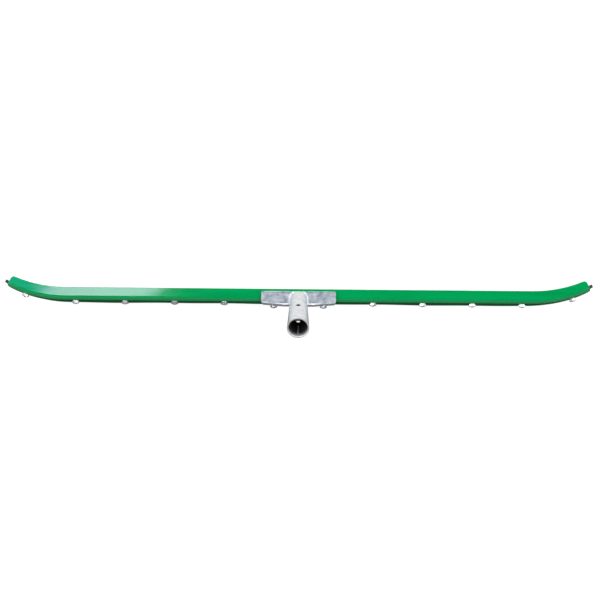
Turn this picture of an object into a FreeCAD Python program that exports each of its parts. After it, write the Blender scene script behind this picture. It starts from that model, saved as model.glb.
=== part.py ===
import FreeCAD, Part
import math
import os
import Sketcher

# Head of a curved-end floor squeegee: a rubber blade clamped to a steel angle whose two ends
# curve forward, held by a row of screws, with a cast socket for a tapered handle.
#
# Millimetres. X runs along the blade, +Y is forward (the way the ends curve), +Z is up.
# The origin is the middle of the blade's floor edge, on the rubber's mid-plane.

V = FreeCAD.Vector

# alias, value, what it is
SIZES = (
    ("blade_long", 908.0, "rubber length, measured round the bends"),
    ("blade_high", 50.8, "rubber height"),
    ("blade_thick", 4.8, "rubber thickness"),
    ("overhang", 6.0, "rubber left over past the frame at each end"),
    ("flat_half", 358.0, "half of the straight stretch"),
    ("bend_rad", 194.6, "radius of the end bends at the rubber's mid-plane"),
    ("steel", 3.0, "frame and clamp strip thickness"),
    ("leg_deep", 19.0, "depth of the frame's top leg"),
    ("flange_high", 25.4, "height of the frame's rear flange, leg included"),
    ("leg_gap", 0.5, "air between rubber and top leg"),
    ("outer_round", 6.0, "outside radius of the angle's corner"),
    ("inner_round", 3.0, "inside radius of the angle's corner"),
    ("nose_round", 5.0, "rounding of the top leg's front corners"),
    ("edge_round", 0.7, "rounding of the rolled steel's edges"),
    ("strip_high", 19.6, "clamp strip height"),
    ("pitch", 76.2, "screw spacing along the blade"),
    ("screw_drop", 11.5, "screw axis below the frame's top"),
    ("screw_rad", 2.4, "screw shank radius"),
    ("screw_hole", 2.6, "clearance hole radius"),
    ("screw_proud", 1.1, "thread showing past the nut"),
    ("head_rad", 4.7, "screw head radius"),
    ("head_high", 2.7, "screw head height"),
    ("dome_rad", 1.9, "rounding of the screw head"),
    ("drive_long", 5.2, "length of each slot of the cross recess"),
    ("drive_wide", 1.1, "width of each slot of the cross recess"),
    ("drive_deep", 1.4, "depth of the cross recess"),
    ("washer_rad", 4.3, "lock washer outside radius"),
    ("washer_bore", 2.6, "lock washer inside radius"),
    ("washer_thick", 1.2, "lock washer thickness"),
    ("washer_split", 0.9, "width of the lock washer's split"),
    ("nut_flats", 9.5, "nut size across the flats"),
    ("nut_high", 3.2, "nut height"),
    ("nut_bore", 2.41, "nut bore radius"),
    ("pad_half", 57.0, "half length of the socket casting's pad"),
    ("pad_front", 9.3, "front edge of the pad"),
    ("pad_high", 5.0, "pad thickness on the top leg"),
    ("pad_rear", 9.0, "rear face of the casting at its two ends, behind the mid-plane"),
    ("pad_belly", 11.7, "rear face of the casting beside the tube"),
    ("belly_half", 22.0, "half width of the thick middle of the casting"),
    ("skirt_high", 16.5, "casting behind the frame, below the frame's top"),
    ("spot_rear", 9.4, "seat of the two middle nuts, behind the mid-plane"),
    ("spot_rad", 6.8, "radius of the spot facing under the two middle nuts"),
    ("panel_deep", 1.0, "depth of the two panels sunk in the pad"),
    ("panel_rim", 2.2, "rim left round each panel"),
    ("panel_start", 20.0, "inner end of each panel"),
    ("tilt", 54.5, "angle of the handle above the floor, degrees"),
    ("tube_foot", -2.0, "where the tube's axis meets the frame's top, along Y"),
    ("tube_long", 93.0, "tube length from there to the mouth"),
    ("tube_sunk", 6.0, "tube below that point"),
    ("root_rad", 12.5, "tube outside radius at its foot"),
    ("mouth_rad", 16.6, "tube outside radius at the mouth"),
    ("bore_rad", 14.3, "bore radius at the mouth"),
    ("land_long", 12.0, "cylindrical stretch of the bore"),
    ("bore_deep", 76.0, "bore depth"),
    ("bore_end", 11.0, "bore radius at the bottom"),
    ("mouth_bevel", 0.8, "bevel round the mouth"),
    ("pin_rad", 3.4, "handle screw hole radius"),
    ("pin_back", 45.0, "handle screw hole, distance from the mouth"),
    ("fillet_rad", 1.4, "rounding of the casting's edges"),
    ("corner_rad", 3.0, "rounding of the pad's corners seen from above"),
    ("web_rad", 4.0, "fillet between tube and pad"),
    ("spare", 15.0, "extra length of blocks and drills that are cut off or cut through"),
)
SCREWS = 12
MIDDLE_SCREWS = (SCREWS // 2 - 1, SCREWS // 2)
# Turn of each nut, washer split and cross recess from one screw to the next, degrees.
NUT_STEP = 17
SPLIT_START = 40
SPLIT_STEP = 25
DRIVE_STEP = 15

doc = FreeCAD.newDocument("squeegee_head")
sheet = doc.addObject("Spreadsheet::Sheet", "Sizes")
size = {}
for row, (alias, value, meaning) in enumerate(SIZES, start=1):
    sheet.set("A%d" % row, meaning)
    sheet.set("B%d" % row, str(value))
    sheet.setAlias("B%d" % row, alias)
    size[alias] = value
doc.recompute()

# Heights and offsets that several pieces share, each also written as an expression of the sheet.
top_z = size["blade_high"] + size["leg_gap"] + size["steel"]
TOP = "(Sizes.blade_high + Sizes.leg_gap + Sizes.steel)"
half_thick = size["blade_thick"] / 2
HALF = "Sizes.blade_thick / 2"
screw_z = top_z - size["screw_drop"]
steel_back = half_thick + size["steel"]
BACK = "(Sizes.blade_thick / 2 + Sizes.steel)"
frame_bend = size["blade_long"] / 2 - size["overhang"] - size["flat_half"]
frame_turn = math.degrees(frame_bend / size["bend_rad"])
FRAME_TURN = "((Sizes.blade_long / 2 - Sizes.overhang - Sizes.flat_half) / Sizes.bend_rad * 1 rad)"
blade_turn = math.degrees((size["blade_long"] / 2 - size["flat_half"]) / size["bend_rad"])
BLADE_TURN = "((Sizes.blade_long / 2 - Sizes.flat_half) / Sizes.bend_rad * 1 rad)"
nodes = []


def keep(item, label):
    """Give a finished sub-part its name and put it on the list of what is written."""
    item.Label = label
    nodes.append(item)


def plane_of(body, role):
    """One of the body's own three origin planes."""
    return [item for item in body.Origin.OriginFeatures if item.Role == role][0]


def new_sketch(body, name, role, offset=FreeCAD.Placement()):
    """An empty sketch on an origin plane of the body, moved by an offset in that plane's frame."""
    sketch = body.newObject("Sketcher::SketchObject", name)
    sketch.AttachmentSupport = [(plane_of(body, role), "")]
    sketch.MapMode = "FlatFace"
    sketch.AttachmentOffset = offset
    return sketch


def place_x(sketch, item, end, x, expression):
    """Set how far right of the origin a point of a sketch lies, driven from the sheet."""
    index = sketch.addConstraint(Sketcher.Constraint("DistanceX", -1, 1, item, end, x))
    sketch.setExpression("Constraints[%d]" % index, expression)


def place_y(sketch, item, end, y, expression):
    """Set how far above the origin a point of a sketch lies, driven from the sheet."""
    index = sketch.addConstraint(Sketcher.Constraint("DistanceY", -1, 1, item, end, y))
    sketch.setExpression("Constraints[%d]" % index, expression)


def outline(sketch, corners):
    """Close a polygon through corners, each given as (x, x expression, y, y expression)."""
    count = len(corners)
    points = [V(x, y, 0) for x, _, y, _ in corners]
    for i in range(count):
        sketch.addGeometry(Part.LineSegment(points[i], points[(i + 1) % count]), False)
    for i in range(count):
        sketch.addConstraint(Sketcher.Constraint("Coincident", i, 2, (i + 1) % count, 1))
    for i, (x, x_rule, y, y_rule) in enumerate(corners):
        place_x(sketch, i, 1, x, x_rule)
        place_y(sketch, i, 1, y, y_rule)


def strip_plan(sketch, rear, rear_rule, front, front_rule, turn, turn_rule, shift=0.0, shift_rule="0"):
    """Draw the plan of a piece that follows the blade: straight in the middle, curved at both ends.

    rear and front are offsets from the rubber's mid-plane. A shift moves the front arcs' centres
    forward, for the top leg, whose front edge is the rear edge moved forward.
    """
    flat = size["flat_half"]
    centre_y = size["bend_rad"]
    rear_rad = centre_y - rear
    front_rad = centre_y + shift - front
    angle = math.radians(turn)
    # The end cut is square to the bend, so it lies on a radius of the rear arc.
    reach = -shift * math.cos(angle) + math.sqrt(front_rad ** 2 - (shift * math.sin(angle)) ** 2)
    front_angle = math.atan2(reach * math.sin(angle), reach * math.cos(angle) + shift)
    low = -math.pi / 2
    rear_ends = V(flat + rear_rad * math.sin(angle), centre_y - rear_rad * math.cos(angle), 0)
    front_ends = V(flat + reach * math.sin(angle), centre_y - reach * math.cos(angle), 0)
    up = V(0, 0, 1)

    def arc(side, middle_y, radius, swing):
        circle = Part.Circle(V(side * flat, middle_y, 0), up, radius)
        start = low if side > 0 else low - swing
        return Part.ArcOfCircle(circle, start, start + swing)

    def mirrored(point):
        return V(-point.x, point.y, 0)

    pieces = (
        Part.LineSegment(V(-flat, rear, 0), V(flat, rear, 0)),
        arc(1, centre_y, rear_rad, angle),
        Part.LineSegment(rear_ends, front_ends),
        arc(1, centre_y + shift, front_rad, front_angle),
        Part.LineSegment(V(flat, front, 0), V(-flat, front, 0)),
        arc(-1, centre_y + shift, front_rad, front_angle),
        Part.LineSegment(mirrored(front_ends), mirrored(rear_ends)),
        arc(-1, centre_y, rear_rad, angle),
    )
    for piece in pieces:
        sketch.addGeometry(piece, False)
    joins = (
        (0, 2, 1, 1), (1, 2, 2, 1), (2, 2, 3, 2), (3, 1, 4, 1),
        (4, 2, 5, 2), (5, 1, 6, 1), (6, 2, 7, 1), (7, 2, 0, 1),
    )
    for first, first_end, second, second_end in joins:
        sketch.addConstraint(Sketcher.Constraint("Coincident", first, first_end, second, second_end))
    for line in (0, 4):
        sketch.addConstraint(Sketcher.Constraint("Horizontal", line))
    place_y(sketch, 0, 1, rear, rear_rule)
    place_y(sketch, 4, 1, front, front_rule)
    for curve, side, y, rule in (
        (1, 1, centre_y, "Sizes.bend_rad"),
        (3, 1, centre_y + shift, "Sizes.bend_rad + " + shift_rule),
        (5, -1, centre_y + shift, "Sizes.bend_rad + " + shift_rule),
        (7, -1, centre_y, "Sizes.bend_rad"),
    ):
        place_x(sketch, curve, 3, side * flat, "%d * Sizes.flat_half" % side)
        place_y(sketch, curve, 3, y, rule)
    for line, end, side in ((0, 2, 1), (0, 1, -1), (4, 1, 1), (4, 2, -1)):
        place_x(sketch, line, end, side * flat, "%d * Sizes.flat_half" % side)
    rear_rule_rad = "(Sizes.bend_rad - (%s))" % rear_rule
    for curve, end, side in ((1, 2, 1), (7, 1, -1)):
        x_rule = "%d * (Sizes.flat_half + %s * sin(%s))" % (side, rear_rule_rad, turn_rule)
        place_x(sketch, curve, end, side * rear_ends.x, x_rule)
    for line in (2, 6):
        centre = 1 if line == 2 else 7
        sketch.addConstraint(Sketcher.Constraint("PointOnObject", centre, 3, line))


def lift(height):
    """A placement that only raises."""
    return FreeCAD.Placement(V(0, 0, height), FreeCAD.Rotation())


def pad(body, name, sketch, length, rule):
    """Pad a sketch along its normal by a length bound to the sheet."""
    feature = body.newObject("PartDesign::Pad", name)
    feature.Profile = sketch
    feature.Length = length
    feature.setExpression("Length", rule)
    sketch.Visibility = False
    doc.recompute()
    return feature


def edges_where(feature, test):
    """Names of a feature's edges that pass a test."""
    return ["Edge%d" % (i + 1) for i, edge in enumerate(feature.Shape.Edges) if test(edge)]


def round_edges(body, name, feature, names, radius, rule):
    """Fillet named edges of the body's last feature."""
    fillet = body.newObject("PartDesign::Fillet", name)
    fillet.Base = (feature, names)
    fillet.Radius = radius
    fillet.setExpression("Radius", rule)
    doc.recompute()
    return fillet


def station(index):
    """Place of a screw: origin on the rubber's mid-plane, local Z forward along the screw."""
    along = (index - (SCREWS - 1) / 2) * size["pitch"]
    past = max(0.0, abs(along) - size["flat_half"])
    turn = math.copysign(past / size["bend_rad"], along)
    straight = math.copysign(min(abs(along), size["flat_half"]), along)
    x = straight + size["bend_rad"] * math.sin(turn)
    y = size["bend_rad"] * (1 - math.cos(turn))
    forward = FreeCAD.Rotation(V(1, 0, 0), -90)
    swing = FreeCAD.Rotation(V(0, 0, 1), math.degrees(turn))
    return FreeCAD.Placement(V(x, y, screw_z), swing.multiply(forward))


def shifted(placement, along):
    """The same placement moved along its own Z."""
    return placement.multiply(FreeCAD.Placement(V(0, 0, along), FreeCAD.Rotation()))


def spun(placement, degrees):
    """The same placement turned about its own Z."""
    return placement.multiply(FreeCAD.Placement(V(), FreeCAD.Rotation(V(0, 0, 1), degrees)))


def cylinder(name, radius_rule, height_rule, placement):
    """A Part cylinder bound to the sheet."""
    item = doc.addObject("Part::Cylinder", name)
    item.setExpression("Radius", radius_rule)
    item.setExpression("Height", height_rule)
    item.Placement = placement
    return item


def drilled(body, name, label):
    """Cut the row of screw holes through a piece."""
    drills = []
    for index in range(SCREWS):
        drill_name = "%s_drill_%02d" % (name, index + 1)
        place = shifted(station(index), -size["spare"])
        drills.append(cylinder(drill_name, "Sizes.screw_hole", "2 * Sizes.spare", place))
    row = doc.addObject("Part::Compound", name + "_drills")
    row.Links = drills
    cut = doc.addObject("Part::Cut", name + "_drilled")
    cut.Base = body
    cut.Tool = row
    cut.Refine = True
    keep(cut, label)


def build_frame():
    """The steel angle: a top leg and a rear flange bent as one, both ends curved forward."""
    body = doc.addObject("PartDesign::Body", "frame_body")
    leg_plan = new_sketch(body, "leg_plan", "XY_Plane", lift(top_z - size["steel"]))
    leg_plan.setExpression("AttachmentOffset.Base.z", TOP + " - Sizes.steel")
    rear = -steel_back
    front = rear + size["leg_deep"]
    strip_plan(
        leg_plan, rear, "-" + BACK, front, "Sizes.leg_deep - " + BACK,
        frame_turn, FRAME_TURN, size["leg_deep"], "Sizes.leg_deep",
    )
    leg = pad(body, "leg", leg_plan, size["steel"], "Sizes.steel")
    noses = edges_where(leg, lambda edge: upright(edge) and beyond(edge, frame_turn, front))
    round_edges(body, "noses", leg, noses, size["nose_round"], "Sizes.nose_round")
    flange_plan = new_sketch(body, "flange_plan", "XY_Plane", lift(top_z - size["flange_high"]))
    flange_plan.setExpression("AttachmentOffset.Base.z", TOP + " - Sizes.flange_high")
    strip_plan(flange_plan, rear, "-" + BACK, -half_thick, "-" + HALF, frame_turn, FRAME_TURN)
    flange = pad(body, "flange", flange_plan, size["flange_high"], "Sizes.flange_high")
    under = top_z - size["steel"]
    inner = edges_where(flange, lambda edge: level(edge, under) and offset_is(edge, -half_thick))
    inside = round_edges(body, "inside_corner", flange, inner, size["inner_round"], "Sizes.inner_round")
    outer = edges_where(inside, lambda edge: level(edge, top_z) and offset_is(edge, rear))
    outside = round_edges(body, "outside_corner", inside, outer, size["outer_round"], "Sizes.outer_round")
    rim = edges_where(outside, lambda edge: is_steel_edge(edge, front))
    round_edges(body, "rolled_edges", outside, rim, size["edge_round"], "Sizes.edge_round")
    drilled(body, "frame", "frame")


def upright(edge):
    """True for an edge that runs along Z."""
    box = edge.BoundBox
    return box.XLength < 1e-3 and box.YLength < 1e-3


def level(edge, height):
    """True for an edge that lies flat at a height."""
    box = edge.BoundBox
    return box.ZLength < 1e-3 and abs(box.ZMin - height) < 1e-3


def is_steel_edge(edge, front):
    """True for the long edges of the top leg's front and of the flange's foot."""
    middle = edge.valueAt(sum(edge.ParameterRange) / 2)
    on_leg = any(level(edge, z) for z in (top_z, top_z - size["steel"]))
    at_front = offset_of(middle) > front - 2 * size["steel"]
    at_foot = level(edge, top_z - size["flange_high"]) and edge.Length > 2 * size["steel"]
    return on_leg and at_front or at_foot


def offset_of(point):
    """Distance of a point in front of the rubber's mid-plane, bends included."""
    over = abs(point.x) - size["flat_half"]
    if over <= 0:
        return point.y
    return size["bend_rad"] - math.hypot(over, size["bend_rad"] - point.y)


def offset_is(edge, wanted):
    """True for an edge whose middle and ends keep one offset from the mid-plane."""
    first, last = edge.ParameterRange
    points = [edge.valueAt(first + (last - first) * part) for part in (0.05, 0.5, 0.95)]
    return all(abs(offset_of(point) - wanted) < 1e-3 for point in points)


def beyond(edge, turn, front):
    """True for an upright edge on the end cut, in the front half of the top leg."""
    point = edge.Vertexes[0].Point
    over = abs(point.x) - size["flat_half"]
    angle = math.degrees(math.atan2(over, size["bend_rad"] - point.y))
    return abs(angle - turn) < 0.01 and offset_of(point) > front / 2


def build_strips():
    """The rubber blade and the steel strip that clamps it."""
    blade = doc.addObject("PartDesign::Body", "blade_body")
    plan = new_sketch(blade, "blade_plan", "XY_Plane")
    strip_plan(plan, -half_thick, "-" + HALF, half_thick, HALF, blade_turn, BLADE_TURN)
    pad(blade, "blade_pad", plan, size["blade_high"], "Sizes.blade_high")
    drilled(blade, "blade", "rubber_blade")

    strip = doc.addObject("PartDesign::Body", "strip_body")
    plan = new_sketch(strip, "strip_plan", "XY_Plane", lift(top_z - size["flange_high"]))
    plan.setExpression("AttachmentOffset.Base.z", TOP + " - Sizes.flange_high")
    strip_plan(plan, half_thick, HALF, steel_back, BACK, frame_turn, FRAME_TURN)
    pad(strip, "strip_pad", plan, size["strip_high"], "Sizes.strip_high")
    drilled(strip, "strip", "clamp_strip")


def belly_at(x):
    """Rear face of the casting at a distance from its middle."""
    over = max(0.0, abs(x) - size["belly_half"])
    run = size["pad_half"] - size["belly_half"]
    return size["pad_belly"] - (size["pad_belly"] - size["pad_rear"]) * over / run


def build_socket():
    """The casting: a pad on the frame, a skirt behind it and a tapered tube for the handle."""
    body = doc.addObject("PartDesign::Body", "socket_body")
    skirt_z = top_z - size["skirt_high"]
    plan = new_sketch(body, "pad_plan", "XY_Plane", lift(skirt_z))
    plan.setExpression("AttachmentOffset.Base.z", TOP + " - Sizes.skirt_high")
    half = size["pad_half"]
    inner = size["belly_half"]
    # The block starts deeper than the pad, so that the tube's webs run out over its front edge.
    spare = size["pad_front"] + size["spare"]
    spare_rule = "Sizes.pad_front + Sizes.spare"
    outline(plan, (
        (-half, "-Sizes.pad_half", -size["pad_rear"], "-Sizes.pad_rear"),
        (-inner, "-Sizes.belly_half", -size["pad_belly"], "-Sizes.pad_belly"),
        (inner, "Sizes.belly_half", -size["pad_belly"], "-Sizes.pad_belly"),
        (half, "Sizes.pad_half", -size["pad_rear"], "-Sizes.pad_rear"),
        (half, "Sizes.pad_half", spare, spare_rule),
        (-half, "-Sizes.pad_half", spare, spare_rule),
    ))
    block_high = size["skirt_high"] + size["pad_high"]
    pad(body, "block", plan, block_high, "Sizes.skirt_high + Sizes.pad_high")

    # The tube is turned about its own axis, drawn upright and then leant back by the tilt.
    lean = FreeCAD.Placement(V(size["tube_foot"], top_z, 0), FreeCAD.Rotation(V(0, 0, 1), 90 - size["tilt"]))
    tube_plan = new_sketch(body, "tube_plan", "YZ_Plane", lean)
    outline(tube_plan, (
        (0, "0", -size["tube_sunk"], "-Sizes.tube_sunk"),
        (size["root_rad"], "Sizes.root_rad", -size["tube_sunk"], "-Sizes.tube_sunk"),
        (size["mouth_rad"], "Sizes.mouth_rad", size["tube_long"], "Sizes.tube_long"),
        (0, "0", size["tube_long"], "Sizes.tube_long"),
    ))
    tube = body.newObject("PartDesign::Revolution", "tube")
    tube.Profile = tube_plan
    tube.ReferenceAxis = (tube_plan, ["V_Axis"])
    tube.Angle = 360
    doc.recompute()

    webs = edges_where(tube, is_web)
    webbed = round_edges(body, "webs", tube, webs, size["web_rad"], "Sizes.web_rad")

    seat = new_sketch(body, "seat_plan", "YZ_Plane")
    beyond_y = size["pad_front"] + 2 * size["spare"]
    beyond_rule = "Sizes.pad_front + 2 * Sizes.spare"
    above_z = top_z + 4 * size["spare"]
    above_rule = TOP + " + 4 * Sizes.spare"
    outline(seat, (
        (-steel_back, "-" + BACK, 0, "0"),
        (-steel_back, "-" + BACK, top_z, TOP),
        (size["pad_front"], "Sizes.pad_front", top_z, TOP),
        (size["pad_front"], "Sizes.pad_front", above_z, above_rule),
        (beyond_y, beyond_rule, above_z, above_rule),
        (beyond_y, beyond_rule, 0, "0"),
    ))
    seat_cut = body.newObject("PartDesign::Pocket", "seat")
    seat_cut.Profile = seat
    seat_cut.Type = "ThroughAll"
    seat_cut.Midplane = True
    doc.recompute()

    bore_plan = new_sketch(body, "bore_plan", "YZ_Plane", lean)
    mouth = size["tube_long"]
    bevel = size["mouth_bevel"]
    outline(bore_plan, (
        (0, "0", mouth - size["bore_deep"], "Sizes.tube_long - Sizes.bore_deep"),
        (size["bore_end"], "Sizes.bore_end", mouth - size["bore_deep"], "Sizes.tube_long - Sizes.bore_deep"),
        (size["bore_rad"], "Sizes.bore_rad", mouth - size["land_long"], "Sizes.tube_long - Sizes.land_long"),
        (size["bore_rad"], "Sizes.bore_rad", mouth - bevel, "Sizes.tube_long - Sizes.mouth_bevel"),
        (size["bore_rad"] + bevel, "Sizes.bore_rad + Sizes.mouth_bevel", mouth, "Sizes.tube_long"),
        (0, "0", mouth, "Sizes.tube_long"),
    ))
    bore = body.newObject("PartDesign::Groove", "bore")
    bore.Profile = bore_plan
    bore.ReferenceAxis = (bore_plan, ["V_Axis"])
    bore.Angle = 360
    doc.recompute()

    corners = edges_where(bore, is_pad_corner)
    feature = round_edges(body, "pad_corners", bore, corners, size["corner_rad"], "Sizes.corner_rad")
    for name, sign in (("left", -1), ("right", 1)):
        panel = new_sketch(body, name + "_panel_plan", "XY_Plane", lift(top_z + size["pad_high"]))
        near = sign * size["panel_start"]
        away = sign * (half - size["panel_rim"])
        side = "" if sign > 0 else "-"
        near_rule = side + "Sizes.panel_start"
        away_rule = side + "(Sizes.pad_half - Sizes.panel_rim)"
        rear = -size["pad_rear"] + size["panel_rim"]
        front = size["pad_front"] - size["panel_rim"]
        outline(panel, (
            (near, near_rule, rear, "Sizes.panel_rim - Sizes.pad_rear"),
            (away, away_rule, rear, "Sizes.panel_rim - Sizes.pad_rear"),
            (away, away_rule, front, "Sizes.pad_front - Sizes.panel_rim"),
            (near, near_rule, front, "Sizes.pad_front - Sizes.panel_rim"),
        ))
        feature = body.newObject("PartDesign::Pocket", name + "_panel")
        feature.Profile = panel
        feature.Length = size["panel_deep"]
        feature.setExpression("Length", "Sizes.panel_deep")
        doc.recompute()

    lip = top_z + size["pad_high"]
    rims = edges_where(feature, lambda edge: level(edge, lip) and on_outline(edge))
    round_edges(body, "rims", feature, rims, size["fillet_rad"], "Sizes.fillet_rad")

    # The handle screw's hole goes square through both walls of the tube.
    angle = math.radians(size["tilt"])
    along = size["tube_long"] - size["pin_back"]
    middle = V(0, size["tube_foot"] - along * math.cos(angle), top_z + along * math.sin(angle))
    across = FreeCAD.Rotation(V(0, 0, 1), V(0, math.sin(angle), math.cos(angle)))
    pin_place = shifted(FreeCAD.Placement(middle, across), -size["mouth_rad"] - size["spare"])
    drills = [cylinder("pin_drill", "Sizes.pin_rad", "2 * (Sizes.mouth_rad + Sizes.spare)", pin_place)]
    for index in MIDDLE_SCREWS:
        number = "%02d" % (index + 1)
        reach_rule = "Sizes.spot_rear + Sizes.spare"
        place = shifted(station(index), -size["spot_rear"] - size["spare"])
        drills.append(cylinder("socket_drill_" + number, "Sizes.screw_hole", reach_rule, place))
        drills.append(cylinder("spot_face_" + number, "Sizes.spot_rad", "Sizes.spare", place))
    row = doc.addObject("Part::Compound", "socket_drills")
    row.Links = drills
    cut = doc.addObject("Part::Cut", "socket_drilled")
    cut.Base = body
    cut.Tool = row
    keep(cut, "handle_socket")


def is_pad_corner(edge):
    """True for the four upright corners of the casting seen from above."""
    point = edge.Vertexes[0].Point
    at_end = abs(abs(point.x) - size["pad_half"]) < 1e-3
    at_corner = min(abs(point.y - size["pad_front"]), abs(point.y + size["pad_rear"])) < 1e-3
    return upright(edge) and at_end and at_corner


def is_web(edge):
    """True for an edge where the tube leaves the top of the pad or the face behind it."""
    box = edge.BoundBox
    lip = top_z + size["pad_high"]
    on_top = abs(box.ZMin - lip) < 1e-3 and abs(box.ZMax - lip) < 1e-3
    curved = edge.Curve.TypeId != "Part::GeomLine"
    near = max(abs(box.XMin), abs(box.XMax)) < size["belly_half"] + 1
    on_rear = abs(box.YMin + size["pad_belly"]) < 1e-3 and abs(box.YMax + size["pad_belly"]) < 1e-3
    return curved and near and (on_top or on_rear)


def on_outline(edge):
    """True for an edge on the pad's outline seen from above."""
    point = edge.valueAt(sum(edge.ParameterRange) / 2)
    half = size["pad_half"]
    inside_x = abs(point.x) < half - size["corner_rad"] / 2
    inside_y = -belly_at(point.x) + 0.5 < point.y < size["pad_front"] - 0.5
    return not (inside_x and inside_y) and abs(point.x) > size["belly_half"]


def build_fastener(index):
    """One screw with its lock washer and nut, all on one axis."""
    number = "%02d" % (index + 1)
    place = station(index)
    rear = steel_back
    rear_rule = BACK
    if index in MIDDLE_SCREWS:
        rear = size["spot_rear"]
        rear_rule = "Sizes.spot_rear"
    # The shank also runs a third of the way into the head, so that the two fuse.
    stack_rule = " + Sizes.washer_thick + Sizes.nut_high + Sizes.screw_proud + Sizes.head_high / 3"
    stack = size["washer_thick"] + size["nut_high"] + size["screw_proud"]

    shank_rule = rear_rule + " + " + BACK + stack_rule
    shank = cylinder("shank_" + number, "Sizes.screw_rad", shank_rule, shifted(place, -rear - stack))
    cap = cylinder("cap_" + number, "Sizes.head_rad", "Sizes.head_high", shifted(place, steel_back))
    doc.recompute()
    dome = doc.addObject("Part::Fillet", "dome_" + number)
    dome.Base = cap
    dome_rad = size["dome_rad"]
    tops = [i + 1 for i, edge in enumerate(cap.Shape.Edges) if is_cap_top(edge, place)]
    dome.Edges = [(i, dome_rad, dome_rad) for i in tops]
    body = doc.addObject("Part::Fuse", "screw_blank_" + number)
    body.Base = shank
    body.Tool = dome
    slots = []
    drive_foot = steel_back + size["head_high"] - size["drive_deep"]
    corner = V(-size["drive_long"] / 2, -size["drive_wide"] / 2, drive_foot)
    for turn in (0, 90):
        slot = doc.addObject("Part::Box", "slot_%s_%d" % (number, turn))
        slot.setExpression("Length", "Sizes.drive_long")
        slot.setExpression("Width", "Sizes.drive_wide")
        slot.setExpression("Height", "2 * Sizes.drive_deep")
        slot_place = spun(place, turn + DRIVE_STEP * index)
        slot.Placement = slot_place.multiply(FreeCAD.Placement(corner, FreeCAD.Rotation()))
        slots.append(slot)
    cross = doc.addObject("Part::Fuse", "cross_" + number)
    cross.Base, cross.Tool = slots
    screw = doc.addObject("Part::Cut", "screw_item_" + number)
    screw.Base = body
    screw.Tool = cross
    keep(screw, "screw_" + number)

    washer_place = shifted(place, -rear - size["washer_thick"])
    ring = cylinder("ring_" + number, "Sizes.washer_rad", "Sizes.washer_thick", washer_place)
    hole = cylinder("ring_hole_" + number, "Sizes.washer_bore", "Sizes.washer_thick", washer_place)
    annulus = doc.addObject("Part::Cut", "annulus_" + number)
    annulus.Base = ring
    annulus.Tool = hole
    gap = doc.addObject("Part::Box", "gap_" + number)
    gap.setExpression("Length", "2 * Sizes.washer_rad")
    gap.setExpression("Width", "Sizes.washer_split")
    gap.setExpression("Height", "Sizes.washer_thick")
    gap.Placement = spun(washer_place, SPLIT_START + SPLIT_STEP * index)
    washer = doc.addObject("Part::Cut", "washer_item_" + number)
    washer.Base = annulus
    washer.Tool = gap
    keep(washer, "lock_washer_" + number)

    nut_place = spun(shifted(washer_place, -size["nut_high"]), NUT_STEP * index)
    hexagon = doc.addObject("Part::Prism", "hexagon_" + number)
    hexagon.Polygon = 6
    hexagon.setExpression("Circumradius", "Sizes.nut_flats / sqrt(3)")
    hexagon.setExpression("Height", "Sizes.nut_high")
    hexagon.Placement = nut_place
    # A steep cone takes the six points off the nut's outer face.
    shave = doc.addObject("Part::Cone", "shave_" + number)
    shave.setExpression("Radius1", "Sizes.nut_flats / 2")
    shave.setExpression("Radius2", "Sizes.nut_flats / 2 + Sizes.nut_high / tan(30)")
    shave.setExpression("Height", "Sizes.nut_high")
    shave.Placement = nut_place
    blank = doc.addObject("Part::Common", "nut_blank_" + number)
    blank.Base = hexagon
    blank.Tool = shave
    thread = cylinder("thread_" + number, "Sizes.nut_bore", "Sizes.nut_high", nut_place)
    nut = doc.addObject("Part::Cut", "nut_item_" + number)
    nut.Base = blank
    nut.Tool = thread
    keep(nut, "nut_" + number)


def is_cap_top(edge, place):
    """True for the rim of a screw head that faces away from the shank."""
    point = place.inverse().multVec(edge.valueAt(edge.ParameterRange[0]))
    closed = edge.isClosed() and edge.Curve.TypeId == "Part::GeomCircle"
    return closed and abs(point.z - steel_back - size["head_high"]) < 1e-3


build_frame()
build_strips()
build_socket()
for screw_index in range(SCREWS):
    build_fastener(screw_index)
doc.recompute()

for item in doc.Objects:
    bad = [word for word in ("Invalid", "Error") if word in item.State]
    if bad:
        raise RuntimeError("%s is %s" % (item.Label, bad[0]))
for item in nodes:
    if item.Shape.isNull() or not item.Shape.isValid() or len(item.Shape.Solids) != 1:
        raise RuntimeError("%s has no single valid solid" % item.Label)

os.makedirs("parts", exist_ok=True)
for item in nodes:
    item.Shape.exportStep("parts/%s.step" % item.Label)
    print("%-16s %10.1f mm3" % (item.Label, item.Shape.Volume))
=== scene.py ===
"""Looks of a curved-end floor squeegee head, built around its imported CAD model.

Everything is in metres, in the model's own frame: X along the blade, +Y forward, the way the two
ends curve, +Z up, with the origin in the middle of the blade's floor edge.
"""
import logging
import math
from dataclasses import dataclass, field
from enum import Enum
from typing import Callable, Iterable, Sequence

import bpy
from mathutils import Matrix, Vector


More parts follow.
